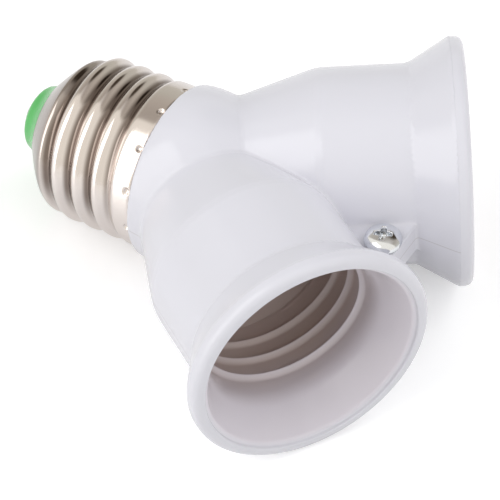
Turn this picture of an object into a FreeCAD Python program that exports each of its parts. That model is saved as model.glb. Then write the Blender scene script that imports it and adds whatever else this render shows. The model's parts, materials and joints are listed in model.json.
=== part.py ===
"""Lamp socket adapter: one screw base that feeds two screw sockets set in a Y.

The adapter is drawn along X, from the tip of its base through the point where the two socket
axes cross the base axis, with the fork in the XY plane. A socket's own pieces are drawn along
X too, then turned into the left or right socket. Every piece is last set down as the adapter
lies on a table, on both socket rims and the screw thread, with the head of the screw upwards.
"""
import FreeCAD, Part
import Sketcher
import os

SIZES = {
    # Layout
    "half_angle": (32.0, "between the base axis and each socket axis, degrees"),
    "socket_reach": (43.0, "crossing of the axes to the rim of a socket"),
    "base_place": (1.5, "crossing of the axes to the housing's face at the base"),
    "rest_middle": (8.6, "crossing of the axes to the middle of the adapter as it lies"),
    # Outside of the housing
    "barrel_radius": (15.3, "outside of a socket's barrel"),
    "barrel_length": (13.8, "straight part of the barrel"),
    "flare_length": (8.4, "flared skirt of a socket, along its axis"),
    "rim_radius": (19.0, "outside of the skirt at its rim"),
    "rim_band": (2.1, "straight band of the skirt at its rim"),
    "rim_bevel": (0.95, "bevel of the rim"),
    "waist_radius": (9.4, "barrel's cone where it ends inside the hub"),
    "waist_place": (2.0, "crossing of the axes to the end of the barrel's cone"),
    "hub_radius": (14.2, "dome of the hub"),
    "hub_place": (1.3, "crossing of the axes to the middle of the hub's dome"),
    # Web in the crotch, with its screw and nut
    "web_thickness": (5.4, "web between the two barrels"),
    "web_root": (1.0, "how deep the web runs into a barrel"),
    "web_margin": (2.6, "screw's axis to the outer edge of the web"),
    "screw_gap": (0.34, "side of a barrel to the head of the screw"),
    "screw_radius": (1.5, "screw over its thread"),
    "head_radius": (2.85, "head of the screw"),
    "head_height": (1.9, "head of the screw"),
    "head_bevel": (0.8, "bevel of the screw's head"),
    "cross_length": (3.2, "cross recess from end to end"),
    "cross_width": (0.8, "one slot of the cross recess"),
    "cross_depth": (1.1, "cross recess"),
    "nut_width": (5.5, "hexagon nut across its flats"),
    "nut_height": (1.8, "hexagon nut"),
    "nut_sink": (1.2, "pocket of the nut in the web"),
    # Inside of a socket
    "mouth_radius": (17.0, "mouth of a socket"),
    "skirt_depth": (7.3, "rim to the foot of the skirt's inside cone"),
    "guide_radius": (13.5, "plain ring ahead of the thread"),
    "guide_length": (2.4, "plain ring ahead of the thread"),
    "thread_radius": (13.3, "threaded bore over its grooves"),
    "thread_pitch": (3.629, "screw thread, seven turns to the inch"),
    "thread_depth": (21.5, "rim to the bottom of the threaded bore"),
    "plate_depth": (24.5, "rim to the face of the contact plate"),
    "well_radius": (8.7, "opening over the contact plate"),
    # Contact plate with its strips
    "plate_radius": (9.4, "contact plate"),
    "plate_thickness": (2.0, "contact plate"),
    "strip_thickness": (0.5, "stamped strips"),
    "strip_width": (3.6, "stamped strips"),
    "strip_foot": (2.2, "foot of a strip along the back of its plate"),
    "slot_place": (5.6, "socket's axis to a strip's slot in the plate"),
    "centre_rise": (2.6, "top of the centre contact over the plate"),
    "side_bend": (5.6, "bend of the side contact over the plate"),
    "side_rise": (9.0, "tip of the side contact over the plate"),
    "side_reach": (10.4, "socket's axis to the tip of the side contact"),
    # Wiring chamber and neck
    "chamber_height": (16.0, "wiring chamber between its flat walls"),
    "chamber_width": (7.0, "socket's axis to the side of the wiring chamber"),
    "chamber_back": (9.0, "base axis to the side of the chamber behind the sockets"),
    "neck_length": (15.5, "neck inside the screw shell"),
    "neck_bore": (8.4, "hollow of the neck"),
    # Screw shell
    "shell_thickness": (0.35, "sheet of the screw shell"),
    "collar_step": (0.1, "plain collar inside the crests of the thread"),
    "collar_length": (3.1, "plain collar of the shell"),
    "shell_radius": (13.1, "shell over its thread"),
    "shell_length": (16.6, "collar and thread, up to the taper"),
    "shoulder_drop": (1.15, "crests of the thread to where the taper gets steep"),
    "shoulder_length": (1.4, "gentle part of the taper"),
    "taper_drop": (4.1, "steep part of the taper, across the axis"),
    "taper_length": (3.6, "steep part of the taper, along the axis"),
    "groove_start": (4.5, "housing's face to the first groove"),
    "groove_depth": (0.95, "rolled groove"),
    "groove_mouth": (2.6, "rolled groove at its top"),
    "groove_floor": (0.9, "rolled groove at its bottom"),
    "groove_turns": (3.8, "turns of the rolled groove"),
    # Insulator and contact at the tip
    "tip_length": (4.8, "insulator beyond the shell"),
    "tip_radius": (2.8, "flat end of the insulator"),
    "tip_bevel": (1.6, "length of the insulator's bevel"),
    "button_radius": (5.3, "round button of the insulator"),
    "button_length": (2.7, "round button of the insulator with its bevel"),
    "plug_step": (0.35, "flange of the insulator outside the shell's end"),
    "plug_gap": (1.0, "shell's end to the flange"),
    "plug_length": (2.2, "insulator inside the shell"),
    "contact_radius": (2.4, "head of the base's contact"),
    "contact_height": (0.7, "head of the base's contact"),
    "contact_shank": (1.2, "shank of the base's contact"),
    "contact_tail": (0.5, "shank beyond the insulator"),
    # Leads
    "lead_radius": (0.9, "insulated lead"),
    "live_turn": (10.0, "crossing of the axes to the live lead's turn to the middle"),
    "live_drop": (8.0, "length of that turn along the base axis"),
    "neutral_turn": (17.0, "crossing of the axes to the neutral lead's turn to the shell"),
    "neutral_end": (19.4, "crossing of the axes to the neutral lead's end"),
    "neutral_gap": (0.55, "neutral lead's end to the inside of the shell"),
    # Fit
    "clearance": (0.1, "between pieces that fit into each other"),
}
SIDES = {"left": 1, "right": -1}

doc = FreeCAD.newDocument("lamp_socket_adapter")
sheet = doc.addObject("Spreadsheet::Sheet", "Sizes")
for row, (alias, (value, meaning)) in enumerate(SIZES.items(), start=1):
    sheet.set(f"A{row}", alias)
    sheet.set(f"B{row}", str(value))
    sheet.set(f"C{row}", meaning)
    sheet.setAlias(f"B{row}", alias)
doc.recompute()


def bound(text):
    """Expression over the sheet: '@rim_radius' stands for its cell of that name."""
    return text.replace("@", "Sizes.")


def worth(text):
    """Value of an expression over the sheet."""
    return float(sheet.evalExpression(bound(text)))


# Places along the base axis and along a socket's axis
SLOPE = "tan(@half_angle*1deg)"
SINE = "sin(@half_angle*1deg)"
COSINE = "cos(@half_angle*1deg)"
TAPER = "(@base_place + @shell_length)"
SHOULDER = f"({TAPER} + @shoulder_length)"
SHELL_END = f"({SHOULDER} + @taper_length)"
TIP = f"({SHELL_END} + @tip_length)"
COLLAR = "(@shell_radius - @collar_step)"
SHOULDER_RADIUS = "(@shell_radius - @shoulder_drop)"
MOUTH = f"({SHOULDER_RADIUS} - @taper_drop)"
SCREW = f"(@barrel_radius + @head_radius + @screw_gap)/{SINE}"
WEB_END = f"({SCREW} + @web_margin)"
PLATE = "(@socket_reach - @plate_depth)"
PLATE_BACK = f"({PLATE} - @plate_thickness)"
WELL = "(@socket_reach - @thread_depth)"

# Rest on the two rims and on the thread beside the taper
REST_ANGLE = (
    "atan((@rim_radius - @shell_radius)"
    f" / ((@socket_reach - @rim_band)*{COSINE} + {TAPER}))"
)
REST_HEIGHT = f"(@shell_radius*cos({REST_ANGLE}) + {TAPER}*sin({REST_ANGLE}))"
REST = (
    f"placement(vector(-@rest_middle; 0; {REST_HEIGHT});"
    f" rotation(vector(0; 1; 0); -{REST_ANGLE}))"
)
SCREW_AXIS = f"placement(vector({SCREW}; 0; 0); rotation(vector(0; 0; 1); 0))"


def socket_turn(side):
    """Turn from the base axis into one socket's axis."""
    return (
        "placement(vector(0; 0; 0);"
        f" rotation(vector(0; 0; 1); {SIDES[side]}*@half_angle))"
    )


def lay_down(piece, own=None):
    """Bind a piece's placement to the way the adapter lies, after a turn or shift of its own."""
    piece.setExpression("Placement", bound(REST + (f" * {own}" if own else "")))
    return piece


def new_body(name):
    body = doc.addObject("PartDesign::Body", name)
    body.Label = name
    return body


def origin_part(body, role):
    """Origin plane or axis of a body."""
    return next(part for part in body.Origin.OriginFeatures if part.Role == role)


def new_sketch(body, name, plane="XY_Plane", lift=None, turned=False):
    """Sketch on an origin plane, lifted along its normal or turned into the left socket."""
    sketch = body.newObject("Sketcher::SketchObject", name)
    sketch.AttachmentSupport = (origin_part(body, plane), "")
    sketch.MapMode = "FlatFace"
    if lift:
        sketch.setExpression("AttachmentOffset.Base.z", bound(lift))
    if turned:
        upright = FreeCAD.Vector(0, 0, 1)
        turn = FreeCAD.Rotation(upright, worth("@half_angle"))
        sketch.AttachmentOffset = FreeCAD.Placement(FreeCAD.Vector(), turn)
        sketch.setExpression("AttachmentOffset.Rotation.Angle", bound("@half_angle*1deg"))
    return sketch


def bind(sketch, constraint, text):
    """Add a dimension and bind it to an expression."""
    index = sketch.addConstraint(constraint)
    sketch.setExpression(f"Constraints[{index}]", bound(text))


def pin(sketch, geometry, point, place):
    """Hold a point of the sketch at two expressions."""
    for kind, text in zip(("DistanceX", "DistanceY"), place):
        bind(sketch, Sketcher.Constraint(kind, -1, 1, geometry, point, worth(text)), text)


def draw(sketch, corners, closed=True):
    """Draw straight edges from corner to corner."""
    places = [FreeCAD.Vector(worth(x), worth(y), 0) for x, y in corners]
    count = len(places) if closed else len(places) - 1
    for index in range(count):
        end = places[(index + 1) % len(places)]
        sketch.addGeometry(Part.LineSegment(places[index], end), False)
    for index in range(count if closed else count - 1):
        following = (index + 1) % count
        sketch.addConstraint(Sketcher.Constraint("Coincident", index, 2, following, 1))
    for index, place in enumerate(corners[:count]):
        pin(sketch, index, 1, place)
    if not closed:
        pin(sketch, count - 1, 2, corners[-1])
    return sketch


def draw_circle(sketch, x, y, radius):
    """Circle about a place."""
    middle = FreeCAD.Vector(worth(x), worth(y), 0)
    circle = Part.Circle(middle, FreeCAD.Vector(0, 0, 1), worth(radius))
    index = sketch.addGeometry(circle, False)
    pin(sketch, index, 3, (x, y))
    bind(sketch, Sketcher.Constraint("Radius", index, worth(radius)), radius)
    return sketch


def turn_solid(body, name, sketch, cut=False, axis="H_Axis"):
    """Revolve a sketch about one of its own axes, or cut it away all round."""
    feature = body.newObject("PartDesign::Groove" if cut else "PartDesign::Revolution", name)
    feature.Profile = sketch
    feature.ReferenceAxis = (sketch, [axis])
    feature.Angle = 360
    return feature


def raise_solid(body, name, sketch, height, cut=False, both=False, back=False):
    """Pad a sketch to a height, or pocket it, to one side or evenly to both."""
    feature = body.newObject("PartDesign::Pocket" if cut else "PartDesign::Pad", name)
    feature.Profile = sketch
    feature.setExpression("Length", bound(height))
    if both:
        feature.SideType = "Symmetric"
    feature.Reversed = back
    return feature


def repeat_turned(body, name, features):
    """Repeat features half a turn round the base axis: the left socket becomes the right one."""
    pattern = body.newObject("PartDesign::PolarPattern", name)
    pattern.Originals = features
    pattern.Axis = (origin_part(body, "X_Axis"), [""])
    pattern.Angle = 360
    pattern.Occurrences = 2
    body.Tip = pattern
    return pattern


def wind(body, name, sketch, turns, cut=False, back=False):
    """Sweep a sketch along a screw line about its own X axis."""
    kind = "PartDesign::SubtractiveHelix" if cut else "PartDesign::AdditiveHelix"
    feature = body.newObject(kind, name)
    feature.Profile = sketch
    feature.ReferenceAxis = (sketch, ["H_Axis"])
    feature.Mode = "pitch-turns-angle"
    feature.setExpression("Pitch", bound("@thread_pitch"))
    feature.setExpression("Turns", bound(turns))
    feature.Reversed = back
    return feature


def along_base(along, across):
    """Place in the fork plane, from places along and across the left socket's axis."""
    return (
        f"({along})*{COSINE} - ({across})*{SINE}",
        f"({along})*{SINE} + ({across})*{COSINE}",
    )


def mirrored(corners):
    """The same corners on the right side, in reverse order."""
    return [(x, f"-({y})") for x, y in reversed(corners)]


def add_hub_and_neck(body):
    """Domed hub between the barrels, and the neck that the screw shell sits on."""
    face = "-@base_place"
    step = "-(@base_place + @collar_length)"
    neck_end = "-(@base_place + @neck_length)"
    collar = f"{COLLAR} - @shell_thickness - @clearance"
    neck = "@shell_radius - @groove_depth - @shell_thickness - @clearance"
    hub_face = "sqrt(@hub_radius*@hub_radius - (@hub_place + @base_place)*(@hub_place + @base_place))"
    sketch = new_sketch(body, "hub_outline")
    corners = [
        (neck_end, "0"),
        (neck_end, neck),
        (step, neck),
        (step, collar),
        (face, collar),
        (face, hub_face),
    ]
    front = "@hub_place + @hub_radius"
    places = [FreeCAD.Vector(worth(x), worth(y), 0) for x, y in corners]
    nose = FreeCAD.Vector(worth(front), 0, 0)
    for start, end in zip(places, places[1:]):
        sketch.addGeometry(Part.LineSegment(start, end), False)
    centre = FreeCAD.Vector(worth("@hub_place"), 0, 0)
    rise = FreeCAD.Vector(centre.x, worth("@hub_radius"), 0)
    dome = sketch.addGeometry(Part.Arc(places[-1], rise, nose), False)
    floor = sketch.addGeometry(Part.LineSegment(nose, places[0]), False)
    for index in range(len(corners) - 2):
        sketch.addConstraint(Sketcher.Constraint("Coincident", index, 2, index + 1, 1))
    # The dome runs clockwise, so its far end is its first point.
    sketch.addConstraint(Sketcher.Constraint("Coincident", dome - 1, 2, dome, 2))
    sketch.addConstraint(Sketcher.Constraint("Coincident", dome, 1, floor, 1))
    sketch.addConstraint(Sketcher.Constraint("Coincident", floor, 2, 0, 1))
    for index, place in enumerate(corners[:-1]):
        pin(sketch, index, 1, place)
    pin(sketch, dome, 3, ("@hub_place", "0"))
    radius = Sketcher.Constraint("Radius", dome, worth("@hub_radius"))
    bind(sketch, radius, "@hub_radius")
    distance = Sketcher.Constraint("DistanceX", -1, 1, dome, 2, worth(face))
    bind(sketch, distance, face)
    sketch.addConstraint(Sketcher.Constraint("PointOnObject", dome, 1, -1))
    turn_solid(body, "hub", sketch)


def add_barrels(body):
    """Cone, straight barrel and flared skirt of each socket."""
    skirt = "@socket_reach - @flare_length"
    shoulder = f"{skirt} - @barrel_length"
    sketch = draw(new_sketch(body, "barrel_outline", turned=True), [
        ("@waist_place", "0"),
        ("@waist_place", "@waist_radius"),
        (shoulder, "@barrel_radius"),
        (skirt, "@barrel_radius"),
        ("@socket_reach - @rim_band", "@rim_radius"),
        ("@socket_reach - @rim_bevel", "@rim_radius"),
        ("@socket_reach", "@rim_radius - @rim_bevel"),
        ("@socket_reach", "0"),
    ])
    barrel = turn_solid(body, "barrel", sketch)
    repeat_turned(body, "barrels", [barrel])


def add_web(body):
    """Flat web that fills the crotch and carries the screw."""
    inside = "(@barrel_radius - @web_root)"
    half_width = f"{WEB_END}*{SLOPE} - {inside}/{COSINE}"
    sketch = draw(new_sketch(body, "web_outline"), [
        (f"{inside}/{SINE}", "0"),
        (WEB_END, f"-({half_width})"),
        (WEB_END, half_width),
    ])
    raise_solid(body, "web", sketch, "@web_thickness", both=True)


def cut_sockets(body):
    """Mouth, skirt, threaded bore, well and the seat of the contact plate in each socket."""
    guide = "@socket_reach - @skirt_depth - @guide_length"
    seat = "@plate_radius + @clearance"
    sketch = draw(new_sketch(body, "socket_outline", turned=True), [
        (f"{PLATE_BACK} - @clearance", "0"),
        ("@socket_reach", "0"),
        ("@socket_reach", "@mouth_radius"),
        ("@socket_reach - @skirt_depth", "@guide_radius"),
        (guide, "@guide_radius"),
        (guide, "@thread_radius"),
        (WELL, "@thread_radius"),
        (WELL, "@well_radius"),
        (f"{PLATE} + @clearance", "@well_radius"),
        (f"{PLATE} + @clearance", seat),
        (f"{PLATE_BACK} - @clearance", seat),
    ])
    bore = turn_solid(body, "socket", sketch, cut=True)
    repeat_turned(body, "sockets", [bore])


def cut_chamber(body):
    """Wiring chamber behind the contact plates, and the hollow of the neck."""
    front = along_base(PLATE_BACK, "@chamber_width")
    side = [
        ("-@base_place", "@chamber_back"),
        ("@hub_place", "@chamber_back"),
        front,
    ]
    apex = (f"{PLATE_BACK}/{COSINE}", "0")
    sketch = draw(new_sketch(body, "chamber_outline"), [*side, apex, *mirrored(side)])
    raise_solid(body, "chamber", sketch, "@chamber_height", cut=True, both=True)
    neck = draw(new_sketch(body, "neck_hollow_outline"), [
        ("-(@base_place + @neck_length)", "0"),
        ("-(@base_place + @neck_length)", "@neck_bore"),
        ("0", "@neck_bore"),
        ("0", "0"),
    ])
    turn_solid(body, "neck_hollow", neck, cut=True)


def hexagon(sketch, x, width):
    """Hexagon about a place on the sketch's X axis, across its flats."""
    corner = f"{width}/sqrt(3)"
    return draw(sketch, [
        (f"{x} + {corner}*cos({step*60}deg)", f"{corner}*sin({step*60}deg)")
        for step in range(6)
    ])


def cut_screw_hole(body):
    """Hole through the web, and the nut's pocket from below."""
    hole = new_sketch(body, "screw_hole_outline")
    draw_circle(hole, SCREW, "0", "@screw_radius + @clearance")
    raise_solid(body, "screw_hole", hole, "@web_thickness + 2", cut=True, both=True)
    pocket = new_sketch(body, "nut_pocket_outline", lift="-@web_thickness/2")
    hexagon(pocket, SCREW, "(@nut_width + 2*@clearance)")
    raise_solid(body, "nut_pocket", pocket, "@nut_sink", cut=True, back=True)


def make_housing():
    """Two half shells, parted in the plane of the fork."""
    form = new_body("housing_form")
    add_hub_and_neck(form)
    add_barrels(form)
    add_web(form)
    cut_sockets(form)
    cut_chamber(form)
    cut_screw_hole(form)
    halves = []
    for name, lift in (("upper_housing", "0"), ("lower_housing", "-2*@rim_radius")):
        room = doc.addObject("Part::Box", f"{name}_room")
        room.setExpression("Length", bound(f"{TIP} + 2*@socket_reach"))
        room.setExpression("Width", bound("4*@socket_reach"))
        room.setExpression("Height", bound("2*@rim_radius"))
        room.setExpression("Placement.Base.x", bound(f"-{TIP}"))
        room.setExpression("Placement.Base.y", bound("-2*@socket_reach"))
        room.setExpression("Placement.Base.z", bound(lift))
        half = doc.addObject("Part::Common", name)
        half.Base = form
        half.Tool = room
        half.Label = name
        halves.append(lay_down(half))
    return halves


def make_screw_shell():
    """Rolled sheet shell with the lamp thread, tapered in at its end."""
    face = "-@base_place"
    collar_end = "-(@base_place + @collar_length)"
    bore = "@shell_radius - @groove_depth - @shell_thickness"
    body = new_body("screw_shell")
    sketch = draw(new_sketch(body, "shell_outline"), [
        (face, f"{COLLAR} - @shell_thickness"),
        (face, COLLAR),
        (collar_end, COLLAR),
        (collar_end, "@shell_radius"),
        (f"-{TAPER}", "@shell_radius"),
        (f"-{SHOULDER}", SHOULDER_RADIUS),
        (f"-{SHELL_END}", MOUTH),
        (f"-{SHELL_END}", f"{MOUTH} - @shell_thickness"),
        (f"-{SHOULDER} + @shell_thickness", f"{SHOULDER_RADIUS} - @shell_thickness"),
        (f"-{TAPER}", bore),
        (collar_end, bore),
        (collar_end, f"{COLLAR} - @shell_thickness"),
    ])
    turn_solid(body, "shell", sketch)
    middle = "-(@base_place + @groove_start)"
    top = "@shell_radius + @clearance"
    bottom = "@shell_radius - @groove_depth"
    groove = draw(new_sketch(body, "groove_outline"), [
        (f"{middle} - @groove_mouth/2", f"-({top})"),
        (f"{middle} - @groove_floor/2", f"-({bottom})"),
        (f"{middle} + @groove_floor/2", f"-({bottom})"),
        (f"{middle} + @groove_mouth/2", f"-({top})"),
    ])
    wind(body, "thread", groove, "@groove_turns", cut=True, back=True)
    return lay_down(body)


def make_base_insulator():
    """Green insulator in the end of the shell, with a hole for the contact."""
    body = new_body("base_insulator")
    throat = f"{MOUTH} - @shell_thickness - @clearance"
    flange = f"{MOUTH} + @plug_step"
    hole = "@contact_shank + @clearance"
    back = f"-{SHELL_END} + @plug_length"
    sketch = draw(new_sketch(body, "insulator_outline"), [
        (f"-{TIP}", hole),
        (f"-{TIP}", "@tip_radius"),
        (f"-{TIP} + @tip_bevel", "@button_radius"),
        (f"-{TIP} + @button_length", "@button_radius"),
        (f"-{SHELL_END}", throat),
        (f"-{SHELL_END} + @plug_gap", throat),
        (f"-{SHELL_END} + @plug_gap", flange),
        (back, flange),
        (back, hole),
    ])
    turn_solid(body, "insulator", sketch)
    return lay_down(body)


def make_base_contact():
    """Riveted centre contact at the tip of the base."""
    body = new_body("base_contact")
    head = f"-({TIP} + @contact_height)"
    tail = f"-{SHELL_END} + @plug_length + @contact_tail"
    sketch = draw(new_sketch(body, "contact_outline"), [
        (head, "0"),
        (head, "@contact_radius"),
        (f"-{TIP}", "@contact_radius"),
        (f"-{TIP}", "@contact_shank"),
        (tail, "@contact_shank"),
        (tail, "0"),
    ])
    turn_solid(body, "contact", sketch)
    return lay_down(body)


def make_housing_screw():
    """Pan head screw with a cross recess, through the web."""
    body = new_body("housing_screw")
    seat = "@web_thickness/2"
    crown = f"({seat} + @head_height)"
    foot = "-(@web_thickness/2 - @nut_sink + @nut_height)"
    sketch = draw(new_sketch(body, "screw_outline", "XZ_Plane"), [
        ("0", foot),
        ("@screw_radius", foot),
        ("@screw_radius", seat),
        ("@head_radius", seat),
        ("@head_radius", f"{crown} - @head_bevel"),
        ("@head_radius - @head_bevel", crown),
        ("0", crown),
    ])
    turn_solid(body, "screw", sketch, axis="V_Axis")
    arm = "@cross_width/2"
    reach = "@cross_length/2"
    cross = draw(new_sketch(body, "cross_outline", lift=crown), [
        (arm, arm), (reach, arm), (reach, f"-{arm}"), (arm, f"-{arm}"),
        (arm, f"-{reach}"), (f"-{arm}", f"-{reach}"), (f"-{arm}", f"-{arm}"),
        (f"-{reach}", f"-{arm}"), (f"-{reach}", arm), (f"-{arm}", arm),
        (f"-{arm}", reach), (arm, reach),
    ])
    raise_solid(body, "cross", cross, "@cross_depth", cut=True)
    return lay_down(body, SCREW_AXIS)


def make_housing_nut():
    """Hexagon nut in its pocket under the web."""
    body = new_body("housing_nut")
    seat = "-(@web_thickness/2 - @nut_sink)"
    outline = hexagon(new_sketch(body, "nut_outline", lift=seat), "0", "@nut_width")
    draw_circle(outline, "0", "0", "@screw_radius + @clearance/2")
    raise_solid(body, "nut", outline, "@nut_height", back=True)
    return lay_down(body, SCREW_AXIS)


def cut_slot(body, name, place):
    """Slot for a strip, parallel to the socket's axis."""
    deep = f"{place} + @strip_thickness/2 + @clearance"
    near = f"{place} - @strip_thickness/2 - @clearance"
    wide = "(@strip_width/2 + @clearance)"
    sketch = draw(new_sketch(body, f"{name}_outline", "YZ_Plane"), [
        (f"-{wide}", near), (wide, near), (wide, deep), (f"-{wide}", deep),
    ])
    raise_solid(body, name, sketch, "@socket_reach", cut=True, back=True)


def make_contact_plate(side):
    """Round insulating plate that carries one socket's two contacts."""
    body = new_body(f"{side}_contact_plate")
    sketch = draw(new_sketch(body, "plate_outline"), [
        (PLATE_BACK, "0"),
        (PLATE_BACK, "@plate_radius"),
        (PLATE, "@plate_radius"),
        (PLATE, "0"),
    ])
    turn_solid(body, "plate", sketch)
    cut_slot(body, "live_slot", "-@slot_place")
    cut_slot(body, "neutral_slot", "@slot_place")
    return lay_down(body, socket_turn(side))


def make_strip(name, side, corners):
    """Strip bent along a path of corners, from its foot behind the plate through its slot."""
    body = new_body(f"{side}_{name}")
    sketch = draw(new_sketch(body, "strip_outline", "XZ_Plane"), corners)
    raise_solid(body, "strip", sketch, "@strip_width", both=True)
    return lay_down(body, socket_turn(side))


def make_centre_contact(side):
    """Sprung strip that stands on the plate and bends to the middle of the socket."""
    outer = "-(@slot_place + @strip_thickness/2)"
    inner = "-(@slot_place - @strip_thickness/2)"
    foot = f"{outer} + @strip_foot"
    back = f"{PLATE_BACK} - @strip_thickness"
    top = f"{PLATE} + @centre_rise"
    return make_strip("centre_contact", side, [
        (back, outer),
        (top, outer),
        (top, "@strip_width/2"),
        (f"{top} - @strip_thickness", "@strip_width/2"),
        (f"{top} - @strip_thickness", inner),
        (PLATE_BACK, inner),
        (PLATE_BACK, foot),
        (back, foot),
    ])


def make_side_contact(side):
    """Sprung strip that stands on the plate and leans out to the lamp's thread."""
    outer = "@slot_place + @strip_thickness/2"
    inner = "@slot_place - @strip_thickness/2"
    foot = f"{outer} - @strip_foot"
    back = f"{PLATE_BACK} - @strip_thickness"
    bend = f"{PLATE} + @side_bend"
    tip = f"{PLATE} + @side_rise"
    return make_strip("side_contact", side, [
        (back, foot),
        (PLATE_BACK, foot),
        (PLATE_BACK, inner),
        (f"{bend} + @strip_thickness/4", inner),
        (tip, "@side_reach - @strip_thickness"),
        (tip, "@side_reach"),
        (bend, outer),
        (back, outer),
    ])


def make_link(pole, height):
    """Bent strip behind the plates that joins the two contacts of one pole."""
    body = new_body(f"{pole}_link")
    front = f"{PLATE_BACK} - @strip_thickness"
    back = f"{PLATE_BACK} - 2*@strip_thickness"
    outer = along_base(front, "@strip_foot")
    inner = along_base(back, "@strip_foot")
    sketch = draw(new_sketch(body, "link_outline", lift=height), [
        outer,
        (f"({front})/{COSINE}", "0"),
        *mirrored([outer]),
        *mirrored([inner]),
        (f"({back})/{COSINE}", "0"),
        inner,
    ])
    raise_solid(body, "link", sketch, "@strip_width", both=True)
    return lay_down(body)


def make_lead(pole, height, route):
    """Insulated lead from a link strip to the base, in straight runs."""
    body = new_body(f"{pole}_lead")
    start = f"({PLATE_BACK} - 2*@strip_thickness)/{COSINE} - @lead_radius*{SLOPE}"
    path = draw(new_sketch(body, "lead_path", "XZ_Plane"), [(start, height), *route], False)
    section = new_sketch(body, "lead_section", "YZ_Plane", lift=start)
    draw_circle(section, "0", height, "@lead_radius")
    pipe = body.newObject("PartDesign::AdditivePipe", "lead")
    pipe.Profile = section
    pipe.Spine = (path, [f"Edge{index + 1}" for index in range(len(route))])
    pipe.Transition = "Right corner"
    return lay_down(body)


def make_leads():
    """Live lead to the tip's contact, neutral lead to the inside of the screw shell."""
    tail = f"-{SHELL_END} + @plug_length + @contact_tail"
    bore = "@shell_radius - @groove_depth - @shell_thickness"
    seat = f"{bore} - @lead_radius - @neutral_gap"
    live = make_lead("live", "-@slot_place", [
        ("-@live_turn", "-@slot_place"),
        ("-(@live_turn + @live_drop)", "0"),
        (tail, "0"),
    ])
    neutral = make_lead("neutral", "@slot_place", [
        ("-@neutral_turn", "@slot_place"),
        ("-@neutral_end", seat),
    ])
    return [live, neutral]


def make_adapter():
    """Every piece of the adapter."""
    pieces = make_housing()
    pieces += [make_screw_shell(), make_base_insulator(), make_base_contact()]
    pieces += [make_housing_screw(), make_housing_nut()]
    for side in SIDES:
        pieces += [make_contact_plate(side), make_centre_contact(side), make_side_contact(side)]
    pieces += [make_link("live", "-@slot_place"), make_link("neutral", "@slot_place")]
    pieces += make_leads()
    return pieces


def check(pieces):
    """Stop if a feature failed or a piece has no sound solid."""
    for item in doc.Objects:
        if {"Invalid", "Error"} & set(item.State):
            raise RuntimeError(f"{item.Label} failed: {item.State}")
    for piece in pieces:
        shape = piece.Shape
        if shape.isNull() or not shape.isValid() or not shape.Solids:
            raise RuntimeError(f"{piece.Label} has no valid solid")


adapter = make_adapter()
doc.recompute()
check(adapter)
os.makedirs("parts", exist_ok=True)
for piece in adapter:
    piece.Shape.exportStep(f"parts/{piece.Label}.step")
    print(piece.Label, len(piece.Shape.Solids), round(piece.Shape.Volume, 1))
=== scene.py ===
"""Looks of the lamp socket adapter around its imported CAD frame.

Shapes are worked out in millimetres in the adapter's own axes: X from the tip of the base to the
sockets, Y across, Z out of the fork on the screw's side, with the origin where the socket axes
cross the base axis. Each mesh is then set down as the adapter lies on the table, in metres.
"""
import json
import math

import bpy
import numpy as np
from mathutils import Matrix, Vector


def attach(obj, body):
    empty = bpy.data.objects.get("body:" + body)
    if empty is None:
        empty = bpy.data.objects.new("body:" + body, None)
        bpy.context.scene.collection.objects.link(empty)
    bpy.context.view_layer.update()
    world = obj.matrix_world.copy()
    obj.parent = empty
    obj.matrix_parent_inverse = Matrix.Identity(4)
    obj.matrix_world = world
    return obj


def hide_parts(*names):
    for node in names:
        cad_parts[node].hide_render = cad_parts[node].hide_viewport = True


TURN = 2.0 * math.pi
MILLIMETRE = 0.001
SIDES = {"left": 1, "right": -1}
WHITE = (1.0, 1.0, 1.0, 1.0)
CLOSED = 0.001  # radius of the last ring of a piece that ends on its axis

# Layout of the adapter, as in the solids
HALF_ANGLE = math.radians(32.0)
SOCKET_REACH = 43.0
BASE_PLACE = 1.5
REST_MIDDLE = 8.6
RIM_RADIUS = 19.0
RIM_BAND = 2.1
SHELL_RADIUS = 13.1
SHELL_TAPER = 18.1
THREAD_PITCH = 3.629
WEB_END = 37.5
WEB_HALF = 2.7
SCREW_PLACE = 34.89
SCREW_HEAD = 2.85

# How a surface is worked out from its field
GRID_STEP = 0.42
GRADIENT_REACH = 0.02
LEAST_SLOPE = 0.05  # square of the least slope that a point is moved by
LONGEST_MOVE = 0.3
SLOPE_PLACES = (-10.0, 52.0)  # range of the table of an outline's slopes
SLOPE_STEP = 0.25
STEEPEST = 3.0  # steepest slope of an outline that its field allows for

# Housing
HOUSING_LOW = (-7.0, -39.6, -19.8)
HOUSING_HIGH = (46.5, 39.6, 19.8)
CREASE_ROUND = 0.5
HUB_RADIUS = 14.2
HUB_PLACE = 1.3
HUB_ROUND = 0.3
WAIST_RADIUS = 9.4
WAIST_PLACE = 2.0
WAIST_ROUND = 0.5
BARREL_OUTLINE = [
    (-6.0, WAIST_RADIUS), (WAIST_PLACE, WAIST_RADIUS), (19.2, 14.82), (20.2, 15.1), (21.4, 15.28),
    (22.6, 15.3), (34.1, 15.3), (34.5, 15.34), (34.85, 15.48), (40.3, 18.72), (40.9, RIM_RADIUS),
    (50.0, RIM_RADIUS),
]
BARREL_CUT = 41.5  # where the housing's mesh ends and the socket's begins
WEB_SIDE = 14.3  # axis of a barrel to the side of the web inside it
WEB_ROUND = 0.3
WEB_FILLET = 0.6
COLLAR_RADIUS = 12.2
COLLAR_END = 6.0

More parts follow.
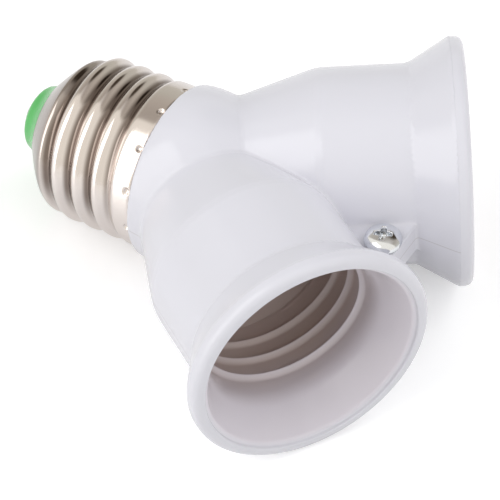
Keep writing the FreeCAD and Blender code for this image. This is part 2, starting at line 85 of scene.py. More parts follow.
# Mouth and bore of a socket, from outside its rim to the contact plate: place, radius, rounding
CORNER_SHARE = 0.98  # most of an edge that a rounding takes up
MOUTH_RADIUS = 17.05
MOUTH_STEP = 42.45
BORE_RADIUS = 13.4
BORE_END = 21.6
WELL_RADIUS = 8.7
MOUTH_CORNERS = [
    (40.95, 19.015, 0.0), (SOCKET_REACH, RIM_RADIUS, 1.5), (SOCKET_REACH, MOUTH_RADIUS, 0.3),
    (MOUTH_STEP, 17.0, 0.2), (42.15, 16.4, 0.25), (36.2, BORE_RADIUS, 1.5), (33.6, BORE_RADIUS, 0.0),
]
WELL_CORNERS = [
    (21.5, BORE_RADIUS, 0.0), (21.3, BORE_RADIUS, 0.08), (21.3, WELL_RADIUS, 0.25), (18.4, WELL_RADIUS, 0.0),
]
MOUTH_STEPS = 12
BORE_ROW = 0.13
SOCKET_COLUMNS = 288
RIDGE_HEIGHT = 0.85
RIDGE_SHARPNESS = 8.0
RIDGE_FIRST = 32.1  # place of a crest at the bearing below
RIDGE_BEARING = math.radians(-85.0)
RIDGE_FROM = 33.4
RIDGE_TO = 22.5
RIDGE_FADES = (1.2, 1.0)  # length of the fade ahead of the first ridge and behind the last

# Screw shell, from the housing's face to the insulator
SHELL_OUTLINE = [
    (1.8, COLLAR_RADIUS), (1.8, 12.76), (1.85, 12.92), (1.97, 13.0), (2.2, 13.03), (4.4, 13.08),
    (16.6, SHELL_RADIUS), (17.2, 12.98), (17.8, 12.8), (18.4, 12.55), (18.9, 12.3), (19.3, 12.02),
    (19.7, 11.66), (20.2, 11.15), (20.9, 10.4), (21.6, 9.6), (22.3, 8.76), (22.75, 8.22), (22.98, 7.94),
    (23.1, 7.78), (23.101, 7.763), (23.119, 7.3),
]
OUTLINE_HAIR = 0.001
SHELL_ROWS = (2.0, 23.0, 0.15)
SHELL_COLUMNS = 512
GROOVE_FIRST = 6.0  # place of the groove's first floor at the bearing below
GROOVE_BEARING = math.pi
GROOVE_DEPTH = 0.98
GROOVE_SHARPNESS = 1.25
GROOVE_IN = (-0.6, 0.35)  # turns in which the groove sets in, and those in which it runs out
GROOVE_OUT = (3.35, 4.0)
DIMPLES = 12
DIMPLE_PLACE = 2.45
DIMPLE_BEARING = math.radians(94.0)
DIMPLE_ARC = 13.0  # radius of the collar along which a dimple is measured
DIMPLE_FLAT = 0.25
DIMPLE_RADIUS = 0.62
DIMPLE_DEPTH = 0.42

# Insulator and contact at the tip
INSULATOR_OUTLINE = [
    (-22.9, 7.3), (-23.1, 7.42), (-23.3, 7.3), (-23.6, 7.04), (-24.0, 6.64), (-24.5, 6.18), (-25.0, 5.82),
    (-25.5, 5.54), (-26.0, 5.34), (-26.3, 5.2), (-26.55, 4.98), (-26.8, 4.66), (-27.05, 4.26),
    (-27.3, 3.82), (-27.5, 3.4), (-27.68, 2.95), (-27.8, 2.6), (-27.87, 2.25), (-27.88, 1.6),
]
INSULATOR_COLUMNS = 128
CONTACT_CORNERS = [
    (-27.5, 2.35, 0.0), (-28.1, 2.4, 0.3), (-28.45, 1.9, 0.3), (-28.58, 0.8, 0.3), (-28.6, CLOSED, 0.0),
]
CONTACT_COLUMNS = 96

# Screw in the web, along its own axis from the web's face
HEAD_SIDE = 0.55
HEAD_CROWN = 1.3
HEAD_SQUARENESS = 2.6
HEAD_RINGS = (0.06, SCREW_HEAD, 44)  # first and last ring of its mesh, and how many
CROSS_HALF = 0.5
CROSS_TAPER = 0.12
CROSS_WALL = (0.6, 1.15)  # foot and top of its wall, as shares of its half width
CROSS_REACH = (0.75, 1.45)
CROSS_DEPTH = 1.35
CROSS_TURN = math.radians(20.0)
SHANK_RADIUS = 1.5
SHANK_END = -6.0
SCREW_OUTLINE = [
    (0.3, SCREW_HEAD), (0.02, SCREW_HEAD - 0.1), (0.0, SHANK_RADIUS), (SHANK_END, SHANK_RADIUS),
    (SHANK_END, CLOSED),
]
SCREW_COLUMNS = 144

# Materials, one for each of the record's slots: colour, roughness, and what a material has besides
LOOKS = {
    "white_plastic": ((0.78, 0.775, 0.83), 0.17, {"grain": 0.1, "cloud": 0.02}),
    "nickel_plate": ((0.76, 0.70, 0.67), 0.15, {"metallic": 1.0, "grain": 0.05, "cloud": 0.06}),
    "green_insulator": ((0.095, 0.53, 0.125), 0.25, {"grain": 0.1, "cloud": 0.08, "coat": 0.2}),
    "contact_metal": ((0.66, 0.64, 0.62), 0.3, {"metallic": 1.0, "grain": 0.3, "cloud": 0.15}),
    "chrome_screw": ((0.84, 0.86, 0.89), 0.12, {"metallic": 1.0, "grain": 0.1, "cloud": 0.1}),
    "brown_laminate": ((0.12, 0.055, 0.025), 0.5, {"grain": 0.4, "cloud": 0.3}),
    "strip_brass": ((0.72, 0.5, 0.2), 0.3, {"metallic": 1.0, "grain": 0.3, "cloud": 0.15}),
    "brown_lead": ((0.1, 0.04, 0.02), 0.45, {"grain": 0.2, "cloud": 0.1}),
    "blue_lead": ((0.02, 0.08, 0.35), 0.45, {"grain": 0.2, "cloud": 0.1}),
}
COAT_ROUGHNESS = 0.08
CLOUD_SCALE = 160.0
CLOUD_DETAIL = 4.0
GLOSS_SPREAD = 0.2
GRAIN_SCALE = 900.0
GRAIN_DETAIL = 2.0
GRAIN_HEIGHT = 0.00005

# Tints by the place on a part, in millimetres along its own axes. An edge runs from no tint to full.
# Painted shade in a socket's bore: darker and warmer with depth, less so on the ridges
BORE_LIT = 38.0
BORE_DARK = 28.0
BORE_SHADE_COLOUR = (0.50, 0.41, 0.38, 1.0)
RIDGE_SHADE = 0.3
CONE_EDGE = (MOUTH_STEP + 0.1, MOUTH_STEP - 0.3)
CONE_COLOUR = (0.785, 0.745, 0.80, 1.0)
PARTING_WIDTH = 0.13
PARTING_COLOUR = (0.6, 0.58, 0.6, 1.0)
# Painted shade on the housing's plug in the gap round the shell
GAP_EDGE = (-BASE_PLACE - 0.05, -BASE_PLACE - 0.2)
GAP_SHADE_COLOUR = (0.05, 0.04, 0.04, 1.0)
# Painted shade on the shell: in the bottoms of its grooves, weaker low down, and on its rolled end
GROOVE_EDGE = (SHELL_RADIUS - 0.4, SHELL_RADIUS - GROOVE_DEPTH)
UNDER_SHADE = 0.12
UNDER_SHELL = (-6.5, 2.0)
TAPER_SHADE = 0.6
TAPER_EDGE = (0.3 - SHELL_TAPER, -1.0 - SHELL_TAPER)
SHELL_SHADE_COLOUR = (0.2, 0.16, 0.14, 1.0)

# Table, and the room that metal reflects: its colours by height, a light front and a dark patch behind
FLOOR_REACH = 3.0
FLOOR_GREY = (0.9, 0.9, 0.9)
FLOOR_ROUGHNESS = 0.12
FLOOR_GLOW = 0.35
FLOOR_GLEAM = 0.15
WORLD_LIGHT = 0.53
ROOM_STOPS = [
    (0.0, (0.66, 0.64, 0.58, 1.0)), (0.34, (0.6, 0.585, 0.52, 1.0)), (0.5, (0.57, 0.53, 0.47, 1.0)),
    (0.68, (0.52, 0.475, 0.42, 1.0)), (0.82, (0.46, 0.42, 0.37, 1.0)), (0.92, (0.54, 0.5, 0.455, 1.0)),
    (1.0, (0.74, 0.71, 0.66, 1.0)),
]
ROOM_FRONT = 0.1
ROOM_BACK = 0.18
FRONT_COLOUR = (1.0, 0.96, 0.88, 1.0)
DARK_BEARING = (0.0, 0.743, 0.669)
DARK_REACH = (0.91, 0.985)
DARK_COLOUR = (0.06, 0.045, 0.03, 1.0)

# Lamps: name, place and size in metres, power in watts, and whether metal shows the lamp
LAMP_TARGET = (0.0, 0.0, 0.02)
LAMPS = [
    ("key", (-0.41, -0.51, 0.46), (0.55, 1.1), 3.4, True),
    ("fill", (0.7, -0.1, 0.5), (0.6, 0.6), 1.5, False),
    ("back", (0.35, 0.6, 0.75), (0.5, 0.5), 2.0, False),
]

# Camera, as fitted to the photograph
CAMERA_PLACE = (0.133669, -0.22934, 0.324281)
CAMERA_DEGREES = (39.4324, -1.6904, 31.7415)
CAMERA_LENS = 193.46
CAMERA_SENSOR = 36.0
CAMERA_SHIFT = (0.00546, 0.0072)
CAMERA_NEAR = 0.01


def rest_matrix():
    """From the adapter's own axes in millimetres to the table in metres."""
    foot = (SOCKET_REACH - RIM_BAND) * math.cos(HALF_ANGLE) + SHELL_TAPER
    lean = math.atan((RIM_RADIUS - SHELL_RADIUS) / foot)
    height = SHELL_RADIUS * math.cos(lean) + SHELL_TAPER * math.sin(lean)
    shift = Matrix.Translation((-REST_MIDDLE, 0.0, height))
    return Matrix.Scale(MILLIMETRE, 4) @ shift @ Matrix.Rotation(-lean, 4, "Y")


REST = rest_matrix()


def socket_matrix(side):
    """From a socket's axes (X out of the socket) to the adapter's own axes."""
    return Matrix.Rotation(side * HALF_ANGLE, 4, "Z")


def new_piece(name, points, faces, material, matrix=None, normals=None):
    """Smooth mesh object from points in millimetres, set down on the table."""
    mesh = bpy.data.meshes.new(name)
    mesh.from_pydata([tuple(point) for point in points], [], [tuple(face) for face in faces])
    mesh.transform(REST @ matrix if matrix else REST)
    mesh.validate()
    mesh.polygons.foreach_set("use_smooth", [True] * len(mesh.polygons))
    if normals is not None:
        turn = REST.to_3x3().normalized()
        mesh.normals_split_custom_set_from_vertices([turn @ Vector(normal) for normal in normals])
    mesh.materials.append(material)
    piece = bpy.data.objects.new(name, mesh)
    bpy.context.scene.collection.objects.link(piece)
    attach(piece, "root")
    return piece


# Surfaces worked out from a field: negative inside, zero on the surface

def smooth_join(first, second, rounding):
    """Union of two fields with a small fillet."""
    blend = np.maximum(rounding - np.abs(first - second), 0.0)
    return np.minimum(first, second) - blend * blend / (4.0 * rounding)


def smooth_cut(first, second, rounding):
    """Intersection of two fields with a small rounding."""
    return -smooth_join(-first, -second, rounding)


def turned_field(along, radius, outline):
    """Distance to a turned outline, given as (place along the axis, radius)."""
    places, radii = np.array(outline).T
    table = np.arange(*SLOPE_PLACES, SLOPE_STEP)
    slopes = np.gradient(np.interp(table, places, radii), SLOPE_STEP)
    slope = np.minimum(np.abs(np.interp(along, table, slopes)), STEEPEST)
    return (radius - np.interp(along, places, radii)) / np.hypot(1.0, slope)


def smooth_step(value, start, end):
    """0 before start, 1 after end, smooth between."""
    share = np.clip((value - start) / (end - start), 0.0, 1.0)
    return share * share * (3.0 - 2.0 * share)


def socket_places(points, side):
    """Place along a socket's axis and distance from it."""
    x, y, z = points.T
    along = x * math.cos(HALF_ANGLE) + side * y * math.sin(HALF_ANGLE)
    across = -side * x * math.sin(HALF_ANGLE) + y * math.cos(HALF_ANGLE)
    return along, np.hypot(across, z)


def housing_field(points):
    """Both halves of the housing as one moulded body."""
    x, y, z = points.T
    hub = np.sqrt((x - HUB_PLACE) ** 2 + y * y + z * z) - HUB_RADIUS
    body = smooth_cut(hub, -BASE_PLACE - x, HUB_ROUND)
    for side in SIDES.values():
        along, radius = socket_places(points, side)
        barrel = turned_field(along, radius, BARREL_OUTLINE)
        barrel = np.maximum(barrel, along - SOCKET_REACH)
        barrel = smooth_cut(barrel, WAIST_PLACE - along, WAIST_ROUND)
        body = smooth_join(body, barrel, CREASE_ROUND)
    lean = (np.abs(y) - x * math.tan(HALF_ANGLE)) * math.cos(HALF_ANGLE) + WEB_SIDE
    web = smooth_cut(np.maximum(np.abs(z) - WEB_HALF, x - WEB_END), lean, WEB_ROUND)
    body = smooth_join(body, web, WEB_FILLET)
    collar = np.maximum(np.hypot(y, z) - COLLAR_RADIUS, np.abs(x) - COLLAR_END)
    return np.minimum(body, np.maximum(collar, x))


def slope_of(field, points):
    """Gradient of a field at each point."""
    columns = []
    for axis in range(3):
        step = np.zeros(3)
        step[axis] = GRADIENT_REACH
        columns.append((field(points + step) - field(points - step)) / (2.0 * GRADIENT_REACH))
    return np.stack(columns, axis=1)


def settle(field, points, rounds=4):
    """Move points straight onto the field's surface."""
    for _ in range(rounds):
        slope = slope_of(field, points)
        steepness = np.maximum((slope * slope).sum(axis=1), LEAST_SLOPE)
        move = np.clip(field(points) / steepness, -LONGEST_MOVE, LONGEST_MOVE)
        points = points - slope * move[:, None]
    return points


def field_grid(field, low, high, step):
    """Values of a field on a regular grid, worked out plane by plane."""
    lines = [
        start + step * np.arange(math.ceil((end - start) / step) + 1)
        for start, end in zip(low, high)
    ]
    across, upward = (part.ravel() for part in np.meshgrid(*lines[1:], indexing="ij"))
    planes = [field(np.stack([np.full(across.size, x), across, upward], axis=1)) for x in lines[0]]
    return np.array(planes).reshape([len(line) for line in lines])


def net_points(values, cells):
    """Middle of the surface's crossings with the edges of each cell, in grid steps."""
    total = np.zeros((len(cells), 3))
    crossings = np.zeros(len(cells))
    for axis in range(3):
        others = [other for other in range(3) if other != axis]
        for first in (0, 1):
            for second in (0, 1):
                start = cells.copy()
                start[:, others] += (first, second)
                end = start.copy()
                end[:, axis] += 1
                near = values[tuple(start.T)]
                far = values[tuple(end.T)]
                crossed = (near < 0.0) != (far < 0.0)
                place = start.astype(float)
                place[:, axis] += near / np.where(crossed, near - far, 1.0)
                total[crossed] += place[crossed]
                crossings += crossed
    return total / crossings[:, None]


def net_faces(inside, number):
    """Quad round each grid edge that crosses the surface, turned to face outward."""
    faces = []
    for axis in range(3):
        first, second = (axis + 1) % 3, (axis + 2) % 3
        edges = np.argwhere(inside != np.roll(inside, -1, axis=axis))
        edges = edges[edges[:, axis] < inside.shape[axis] - 1]
        edges = edges[(edges[:, first] > 0) & (edges[:, second] > 0)]
        ring = []
        for shift in ((-1, -1), (0, -1), (0, 0), (-1, 0)):
            cell = edges.copy()
            cell[:, [first, second]] += shift
            ring.append(number[tuple(cell.T)])
        ring = np.stack(ring, axis=1)
        entering = ~inside[tuple(edges.T)]
        ring[entering] = ring[entering][:, ::-1]
        faces.append(ring)
    return np.concatenate(faces)


def net_of(field, low, high, step):
    """Points and quads that wrap a field's surface on a regular grid."""
    values = field_grid(field, low, high, step)
    inside = values < 0.0
    rows, columns, layers = inside.shape
    held = sum(
        inside[i:rows - 1 + i, j:columns - 1 + j, k:layers - 1 + k].astype(int)
        for i in (0, 1) for j in (0, 1) for k in (0, 1)
    )
    cells = np.argwhere((held > 0) & (held < 8))
    number = np.full(held.shape, -1)
    number[tuple(cells.T)] = np.arange(len(cells))
    return np.array(low) + step * net_points(values, cells), net_faces(inside, number)


def relax(field, points, faces, rounds=3):
    """Even out the net along its surface."""
    starts, ends = np.concatenate([faces[:, [corner, (corner + 1) % 4]] for corner in range(4)]).T
    size = len(points)
    count = np.bincount(starts, minlength=size) + np.bincount(ends, minlength=size)
    for _ in range(rounds):
        total = np.stack([
            np.bincount(starts, points[ends, axis], size) + np.bincount(ends, points[starts, axis], size)
            for axis in range(3)
        ], axis=1)
        points = settle(field, 0.5 * (points + total / count[:, None]), 1)
    return settle(field, points, 2)


def make_housing(material):
    """White moulded housing, both halves."""
    points, faces = net_of(housing_field, HOUSING_LOW, HOUSING_HIGH, GRID_STEP)
    points = relax(housing_field, settle(housing_field, points), faces)
    middles = points[faces].mean(axis=1)
    kept = np.ones(len(faces), bool)
    for side in SIDES.values():
        kept &= socket_places(middles, side)[0] < BARREL_CUT
    used, faces = np.unique(faces[kept], return_inverse=True)
    points, faces = points[used], faces.reshape(-1, 4)
    slope = slope_of(housing_field, points)
    normals = slope / np.linalg.norm(slope, axis=1)[:, None]
    piece = new_piece("housing", points, faces, material, normals=normals)
    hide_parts("upper_housing", "lower_housing")


# Turned pieces

def bearings_of(columns):
    """Even bearings round an axis."""
    return np.arange(columns) * TURN / columns


def round_wave(turns, sharpness):
    """Wave that is 1 at whole turns and 0 between them. More sharpness narrows its crests."""
    return (0.5 + 0.5 * np.cos(TURN * turns)) ** sharpness


def grid_faces(rows, columns):
    """Quads of a grid of points whose rows run round an axis."""
    faces = []
    for row in range(rows - 1):
        for column in range(columns):
            following = (column + 1) % columns
            low = row * columns
            high = low + columns
            faces.append((low + column, low + following, high + following, high + column))
    return faces


def turned_points(places, radii, columns):
    """Points round the X axis, row by row. Radii may hold one value for each bearing."""
    bearings = bearings_of(columns)
    radii = np.broadcast_to(np.asarray(radii, float).reshape(len(places), -1), (len(places), columns))
    along = np.repeat(np.asarray(places, float), columns)
    across = (radii * np.cos(bearings)).ravel()
    upward = (radii * np.sin(bearings)).ravel()
    return np.stack([along, across, upward], axis=1)


def make_turned(name, outline, columns, material):
    """Turned piece from an outline of (place along X, radius)."""
    places, radii = zip(*outline)
    points = turned_points(places, radii, columns)
    return new_piece(name, points, grid_faces(len(places), columns), material)


def rounded(corners, steps=6):
    """Outline of (place, radius) whose inner corners are rounded, each by its own reach."""
    outline = [corners[0][:2]]
    for before, (*corner, rounding), after in zip(corners, corners[1:], corners[2:]):
        corner = Vector(corner)
        start = Vector(before[:2]) - corner
        end = Vector(after[:2]) - corner
        first = corner + start.normalized() * min(rounding, start.length * CORNER_SHARE)
        last = corner + end.normalized() * min(rounding, end.length * CORNER_SHARE)
        for step in range(steps + 1):
            share = step / steps
            place = first.lerp(corner, share).lerp(corner.lerp(last, share), share)
            outline.append((place.x, place.y))
    outline.append(corners[-1][:2])
    return outline


def make_socket(side, name, material):
    """Rim, mouth, threaded bore and well of one socket."""
    rows = np.arange(MOUTH_CORNERS[-1][0] - BORE_ROW, BORE_END, -BORE_ROW)
    outline = rounded(MOUTH_CORNERS, MOUTH_STEPS)
    outline += [(place, BORE_RADIUS) for place in rows]
    outline += rounded(WELL_CORNERS)
    places, base = np.array(outline).T
    lag = (bearings_of(SOCKET_COLUMNS) - RIDGE_BEARING) / TURN
    ridge = round_wave((places[:, None] - RIDGE_FIRST) / THREAD_PITCH - lag, RIDGE_SHARPNESS)
    fade = 1.0 - smooth_step(places, RIDGE_FROM, RIDGE_FROM + RIDGE_FADES[0])
    fade *= smooth_step(places, RIDGE_TO - RIDGE_FADES[1], RIDGE_TO)
    radii = base[:, None] - RIDGE_HEIGHT * ridge * fade[:, None]
    points = turned_points(places, radii, SOCKET_COLUMNS)
    faces = [face[::-1] for face in grid_faces(len(places), SOCKET_COLUMNS)]
    piece = new_piece(name, points, faces, material, socket_matrix(side))
    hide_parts("upper_housing", "lower_housing")


def make_screw_shell(material):
    """Rolled shell with its round thread and the row of dimples in its collar."""
    places, radii = np.array(SHELL_OUTLINE).T
    # A hair between the points keeps a straight step in the outline in order
    places = places + OUTLINE_HAIR * np.arange(len(places))
    depths = np.unique(np.concatenate([places, np.arange(*SHELL_ROWS)]))
    bearings = bearings_of(SHELL_COLUMNS)
    lag = (GROOVE_BEARING - bearings) % TURN / TURN
    turns = (depths[:, None] - GROOVE_FIRST) / THREAD_PITCH - lag
    groove = round_wave(turns, GROOVE_SHARPNESS)
    wound = np.round(turns) + lag
    groove *= smooth_step(wound, *GROOVE_IN) * (1.0 - smooth_step(wound, *GROOVE_OUT))
    radii = np.interp(depths, places, radii)[:, None] - GROOVE_DEPTH * groove
    for index in range(DIMPLES):
        bearing = DIMPLE_BEARING + index * TURN / DIMPLES
        around = (bearings - bearing + math.pi) % TURN - math.pi
        distance = np.hypot(around * DIMPLE_ARC, depths[:, None] - DIMPLE_PLACE)
        radii -= DIMPLE_DEPTH * (1.0 - smooth_step(distance, DIMPLE_FLAT, DIMPLE_RADIUS))
    points = turned_points(-depths, radii, SHELL_COLUMNS)
    faces = grid_faces(len(depths), SHELL_COLUMNS)
    piece = new_piece("rolled_shell", points, faces, material)
    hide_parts("screw_shell")


def make_insulator(material):
    """Green glossy dome in the end of the shell."""
    piece = make_turned("insulator_dome", INSULATOR_OUTLINE, INSULATOR_COLUMNS, material)
    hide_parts("base_insulator")


def make_base_contact(material):
    """Low riveted contact on the tip."""
    piece = make_turned("tip_contact", rounded(CONTACT_CORNERS), CONTACT_COLUMNS, material)
    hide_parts("base_contact")


def make_screw(material):
    """Pan head with a cross recess, and its shank down to the nut."""
    rings = np.concatenate([[CLOSED], np.linspace(*HEAD_RINGS)])[:, None]
    bearings = bearings_of(SCREW_COLUMNS)
    across = rings * np.cos(bearings)
    upward = rings * np.sin(bearings)
    fall = np.maximum(1.0 - (rings / SCREW_HEAD) ** HEAD_SQUARENESS, 0.0)
    crown = HEAD_SIDE + HEAD_CROWN * np.sqrt(fall)
    height = np.broadcast_to(crown, across.shape)
    for one, other in ((across, upward), (upward, across)):
        half = CROSS_HALF - CROSS_TAPER * np.abs(one)
        foot, top = (half * share for share in CROSS_WALL)
        arm = 1.0 - smooth_step(np.abs(other), foot, top)
        reach = 1.0 - smooth_step(np.abs(one), *CROSS_REACH)
        height = np.minimum(height, crown - CROSS_DEPTH * arm * reach)
    head = np.stack([height.ravel(), across.ravel(), upward.ravel()], axis=1)
    places, radii = zip(*SCREW_OUTLINE)
    points = np.concatenate([head, turned_points(places, radii, SCREW_COLUMNS)])
    faces = grid_faces(len(rings) + len(places), SCREW_COLUMNS)
    stand = Matrix.Translation((SCREW_PLACE, 0.0, WEB_HALF)) @ Matrix.Rotation(-math.pi / 2.0, 4, "Y")
    turn = Matrix.Rotation(CROSS_TURN, 4, "X")
    piece = new_piece("cross_screw", points, faces, material, stand @ turn)
    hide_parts("housing_screw")


# Nodes of materials and of the world

def feed(tree, socket, value):
    """Link another node's output to a socket, or set the socket to a plain value."""
    if isinstance(value, bpy.types.NodeSocket):
        tree.links.new(value, socket)
    else:
        socket.default_value = value


def add_node(tree, kind, inputs, **settings):
    """New shader node with its settings made and its sockets fed."""
    node = tree.nodes.new("ShaderNode" + kind)
    for name, setting in settings.items():
        setattr(node, name, setting)
    for name, value in inputs.items():
        feed(tree, node.inputs[name], value)
    return node


def map_range(tree, value, start, end, low=0.0, high=1.0, kind="LINEAR"):
    """Value that runs from low at start to high at end, and stays there beyond."""
    inputs = {"Value": value, "From Min": start, "From Max": end, "To Min": low, "To Max": high}
    return add_node(tree, "MapRange", inputs, interpolation_type=kind).outputs["Result"]


def smooth_range(tree, value, start, end, low=0.0, high=1.0):
    """A map_range that sets in and runs out smoothly."""
    return map_range(tree, value, start, end, low, high, "SMOOTHSTEP")


def calculate(tree, operation, *values):
    """Result of one operation on its values."""
    return add_node(tree, "Math", dict(enumerate(values)), operation=operation).outputs[0]


def mix(tree, share, first, second, kind="RGBA"):
    """First where the share is 0, second where it is 1."""
    inputs = {"Factor": share, "A": first, "B": second}
    return add_node(tree, "Mix", inputs, data_type=kind).outputs["Result"]


def noise(tree, place, scale, detail):
    """Soft noise between 0 and 1."""
    return add_node(tree, "TexNoise", {"Vector": place, "Scale": scale, "Detail": detail}).outputs["Fac"]


def split(tree, place):
    """X, Y and Z of a place."""
    return add_node(tree, "SeparateXYZ", {"Vector": place}).outputs


def local_axes(tree, matrix):
    """Place on the surface in millimetres along a part's own axes."""
    inverse = (REST @ matrix).inverted()
    return add_node(tree, "Mapping", {
        "Vector": add_node(tree, "TexCoord", {}).outputs["Object"],
        "Location": inverse.to_translation(),
        "Rotation": inverse.to_3x3().normalized().to_euler(),
        "Scale": [1.0 / MILLIMETRE] * 3,
    }).outputs["Vector"]


def axis_distance(tree, place):
    """Distance of a place from the X axis."""
    across = add_node(tree, "VectorMath", {0: place, 1: (0.0, 1.0, 1.0)}, operation="MULTIPLY")
    return add_node(tree, "VectorMath", {0: across.outputs["Vector"]}, operation="LENGTH").outputs["Value"]


# Materials

def new_material(name, colour, roughness, metallic=0.0, grain=0.0, cloud=0.0, coat=0.0):
    """Principled material with fine grain in its normal and soft clouding in colour and gloss."""
    material = bpy.data.materials.new(name)
    material.use_nodes = True
    tree = material.node_tree
    shader = tree.nodes["Principled BSDF"]
    shader.inputs["Metallic"].default_value = metallic
    shader.inputs["Coat Weight"].default_value = coat
    shader.inputs["Coat Roughness"].default_value = COAT_ROUGHNESS
    place = add_node(tree, "TexCoord", {}).outputs["Object"]
    clouds = noise(tree, place, CLOUD_SCALE, CLOUD_DETAIL)
    clouded = [value * (1.0 - cloud) for value in colour]
    feed(tree, shader.inputs["Base Color"], mix(tree, clouds, (*colour, 1.0), (*clouded, 1.0)))
    finest = roughness * (1.0 - GLOSS_SPREAD)
    coarsest = roughness * (1.0 + GLOSS_SPREAD)
    feed(tree, shader.inputs["Roughness"], map_range(tree, clouds, 0.0, 1.0, finest, coarsest))
    if grain:
        speckle = noise(tree, place, GRAIN_SCALE, GRAIN_DETAIL)
        bump = add_node(tree, "Bump", {"Strength": grain, "Distance": GRAIN_HEIGHT, "Height": speckle})
        feed(tree, shader.inputs["Normal"], bump.outputs["Normal"])
    return material


def tint_by(tree, share, colour):
    """Mix a colour into the material's own by a share between 0 and 1."""
    base = tree.nodes["Principled BSDF"].inputs["Base Color"]
    feed(tree, base, mix(tree, share, base.links[0].from_socket, colour))


def shade_bore(material, side):
    """Painted shade in the socket: the plastic gets darker and warmer with depth, and less so on its ridges.
    The cone inside the mouth gets a slightly darker, pinker tone.
    """
    tree = material.node_tree
    place = local_axes(tree, socket_matrix(side))
    along = split(tree, place)["X"]
    radius = axis_distance(tree, place)
    cone = map_range(tree, along, *CONE_EDGE)
    within = calculate(tree, "LESS_THAN", radius, MOUTH_RADIUS)
    tint_by(tree, calculate(tree, "MULTIPLY", cone, within), CONE_COLOUR)
    # Painted shade: darker and warmer with depth in the bore, less so on the ridges
    depth = smooth_range(tree, along, BORE_LIT, BORE_DARK)
    on_ridge = map_range(tree, along, RIDGE_FROM, RIDGE_TO, low=RIDGE_SHADE)
    valley = map_range(tree, radius, BORE_RADIUS - RIDGE_HEIGHT, BORE_RADIUS, low=on_ridge)
    tint_by(tree, calculate(tree, "MULTIPLY", depth, valley), BORE_SHADE_COLOUR)
    return material


def shade_shell(material):
    """Painted shade: darken the bottoms of the grooves, less so low on the shell, and the rolled end of the
    shell.
    """
    tree = material.node_tree
    place = local_axes(tree, Matrix.Identity(4))
    parts = split(tree, place)
    # Painted shade in the grooves, weaker on the underside
    under = smooth_range(tree, parts["Z"], *UNDER_SHELL, low=UNDER_SHADE)
    groove = smooth_range(tree, axis_distance(tree, place), *GROOVE_EDGE, high=under)
    taper = smooth_range(tree, parts["X"], *TAPER_EDGE)
    end = calculate(tree, "MULTIPLY", taper, TAPER_SHADE)
    tint_by(tree, mix(tree, taper, groove, end, "FLOAT"), SHELL_SHADE_COLOUR)
    return material


def draw_parting_and_gap_shade(material):
    """Fine line where the halves of the housing meet, and painted shade in the gap round the shell."""
    tree = material.node_tree
    parts = split(tree, local_axes(tree, Matrix.Identity(4)))
    above = calculate(tree, "ABSOLUTE", parts["Z"])
    tint_by(tree, smooth_range(tree, above, PARTING_WIDTH, 0.0), PARTING_COLOUR)
    # Painted shade on the plug in the gap round the shell
    tint_by(tree, map_range(tree, parts["X"], *GAP_EDGE), GAP_SHADE_COLOUR)
    return material


def make_materials():
    """One material for each of the record's slots."""
    return {
        name: new_material(name, colour, roughness, **extras)
        for name, (colour, roughness, extras) in LOOKS.items()
    }


def dress_nodes(frame, materials):
    """Give every CAD node its procedural material."""
    for entry in frame["record"]["subparts"]:
        mesh = frame["nodes"][entry["node"]].data
        mesh.materials.clear()
        mesh.materials.append(materials[entry["material_slot"]])


# Studio

def make_floor():
    """White table that keeps the adapter's shadow and looks white to the camera and to metal."""
    mesh = bpy.data.meshes.new("table_top")
    corners = [(x * FLOOR_REACH, y * FLOOR_REACH, 0.0) for x, y in ((-1, -1), (1, -1), (1, 1), (-1, 1))]
    mesh.from_pydata(corners, [], [(0, 1, 2, 3)])
    floor = bpy.data.objects.new("table_top", mesh)
    bpy.context.scene.collection.objects.link(floor)
    material = new_material("white_table", FLOOR_GREY, FLOOR_ROUGHNESS)
    tree = material.node_tree
    rays = add_node(tree, "LightPath", {}).outputs
    glow = calculate(tree, "MULTIPLY", rays["Is Camera Ray"], FLOOR_GLOW)
    glow = calculate(tree, "MULTIPLY_ADD", rays["Is Glossy Ray"], FLOOR_GLEAM, glow)
    shader = tree.nodes["Principled BSDF"]
    shader.inputs["Emission Color"].default_value = WHITE
    feed(tree, shader.inputs["Emission Strength"], glow)
    mesh.materials.append(material)


def make_light(name, place, size, power, mirrored):
    """Soft rectangular lamp that faces the adapter."""
    data = bpy.data.lights.new(name, "AREA")
    data.shape = "RECTANGLE"
    data.size, data.size_y = size
    data.energy = power
    lamp = bpy.data.objects.new(name, data)
    lamp.location = place
    lamp.rotation_euler = (Vector(LAMP_TARGET) - Vector(place)).to_track_quat("-Z", "Y").to_euler()
    lamp.visible_glossy = mirrored
    bpy.context.scene.collection.objects.link(lamp)


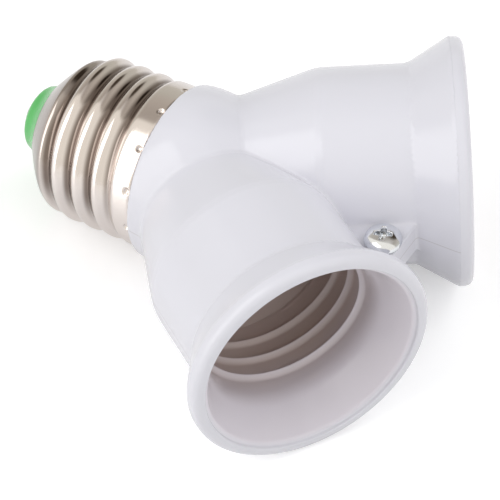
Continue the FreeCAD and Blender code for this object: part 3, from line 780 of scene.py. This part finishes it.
def make_world():
    """Pale surroundings: white where the camera looks, a dim studio in what metal reflects."""
    world = bpy.data.worlds.new("studio")
    world.use_nodes = True
    bpy.context.scene.world = world
    tree = world.node_tree
    rays = add_node(tree, "LightPath", {}).outputs
    bearing = add_node(tree, "TexCoord", {}).outputs["Generated"]
    parts = split(tree, bearing)
    height = add_node(tree, "ValToRGB", {"Fac": parts["Z"]})
    stops = height.color_ramp.elements
    stops[0].position, stops[0].color = ROOM_STOPS[0]
    stops[1].position, stops[1].color = ROOM_STOPS[-1]
    for position, colour in ROOM_STOPS[1:-1]:
        stops.new(position).color = colour
    facing = add_node(tree, "VectorMath", {0: bearing, 1: DARK_BEARING}, operation="DOT_PRODUCT")
    dark = smooth_range(tree, facing.outputs["Value"], *DARK_REACH)
    back = mix(tree, dark, height.outputs["Color"], DARK_COLOUR)
    room = mix(tree, smooth_range(tree, parts["Y"], ROOM_FRONT, ROOM_BACK), FRONT_COLOUR, back)
    light = map_range(tree, rays["Is Camera Ray"], 0.0, 1.0, WORLD_LIGHT, 1.0)
    background = tree.nodes["Background"].inputs
    feed(tree, background["Color"], mix(tree, rays["Is Glossy Ray"], WHITE, room))
    feed(tree, background["Strength"], calculate(tree, "MAXIMUM", light, rays["Is Glossy Ray"]))


def make_camera():
    """Camera at the photograph's viewing angle."""
    data = bpy.data.cameras.new("camera")
    data.sensor_width = CAMERA_SENSOR
    data.lens = CAMERA_LENS
    data.shift_x, data.shift_y = CAMERA_SHIFT
    data.clip_start = CAMERA_NEAR
    camera = bpy.data.objects.new("camera", data)
    camera.location = CAMERA_PLACE
    camera.rotation_euler = [math.radians(angle) for angle in CAMERA_DEGREES]
    bpy.context.scene.collection.objects.link(camera)
    bpy.context.scene.camera = camera


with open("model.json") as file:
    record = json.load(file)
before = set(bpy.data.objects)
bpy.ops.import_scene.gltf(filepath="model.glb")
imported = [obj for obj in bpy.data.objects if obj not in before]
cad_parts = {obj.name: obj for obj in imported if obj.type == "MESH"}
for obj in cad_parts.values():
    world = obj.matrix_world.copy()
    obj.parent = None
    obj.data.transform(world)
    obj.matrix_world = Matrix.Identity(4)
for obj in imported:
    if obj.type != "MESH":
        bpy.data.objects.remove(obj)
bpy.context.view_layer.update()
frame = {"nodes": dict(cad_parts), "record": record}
bpy.context.scene.view_settings.view_transform = "Standard"
materials = make_materials()
dress_nodes(frame, materials)
for name, side in SIDES.items():
    plastic = materials["white_plastic"].copy()
    plastic.name = f"{name}_socket_bore_shaded_plastic"
    make_socket(side, f"{name}_socket_bore", shade_bore(plastic, side))
make_housing(draw_parting_and_gap_shade(materials["white_plastic"]))
make_screw_shell(shade_shell(materials["nickel_plate"]))
make_insulator(materials["green_insulator"])
make_base_contact(materials["contact_metal"])
make_screw(materials["chrome_screw"])
make_floor()
make_world()
for lamp in LAMPS:
    make_light(*lamp)
make_camera()
